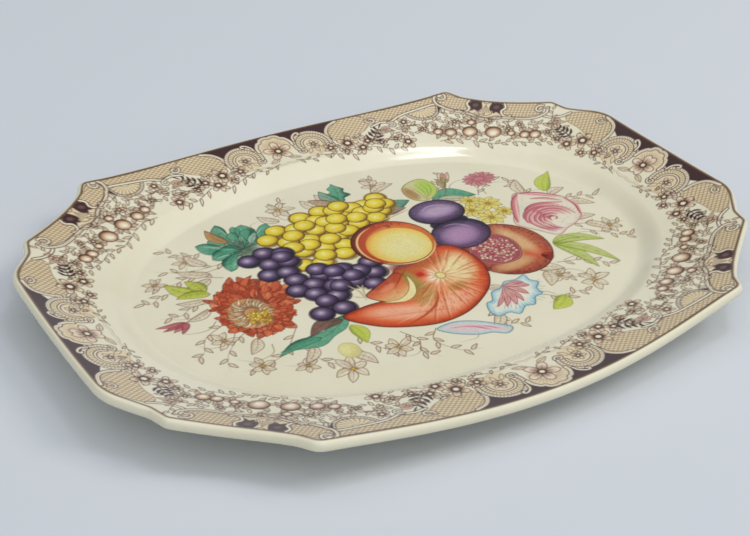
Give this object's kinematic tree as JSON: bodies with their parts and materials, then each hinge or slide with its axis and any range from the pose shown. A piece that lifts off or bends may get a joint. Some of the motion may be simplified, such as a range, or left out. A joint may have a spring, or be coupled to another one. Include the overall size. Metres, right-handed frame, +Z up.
{
  "type": "serving platter",
  "caption": "Elongated serving platter of glazed earthenware with a shallow oval well, a sloping cusped border with corner panels, and an oval foot ring.",
  "frame": {"origin": "middle of the dish in plan, on the plane of the foot ring's flat", "axes": "+X along the length, +Y across the width towards the top of the centre picture, +Z up out of the well"},
  "size_m": [0.3574, 0.273, 0.0273],
  "materials": {
    "glazed_earthenware": "cream earthenware under a clear gloss glaze, printed in brown and hand coloured under the glaze"
  },
  "bodies": {
    "root": {"platter": "glazed_earthenware"}
  },
  "joints": []
}
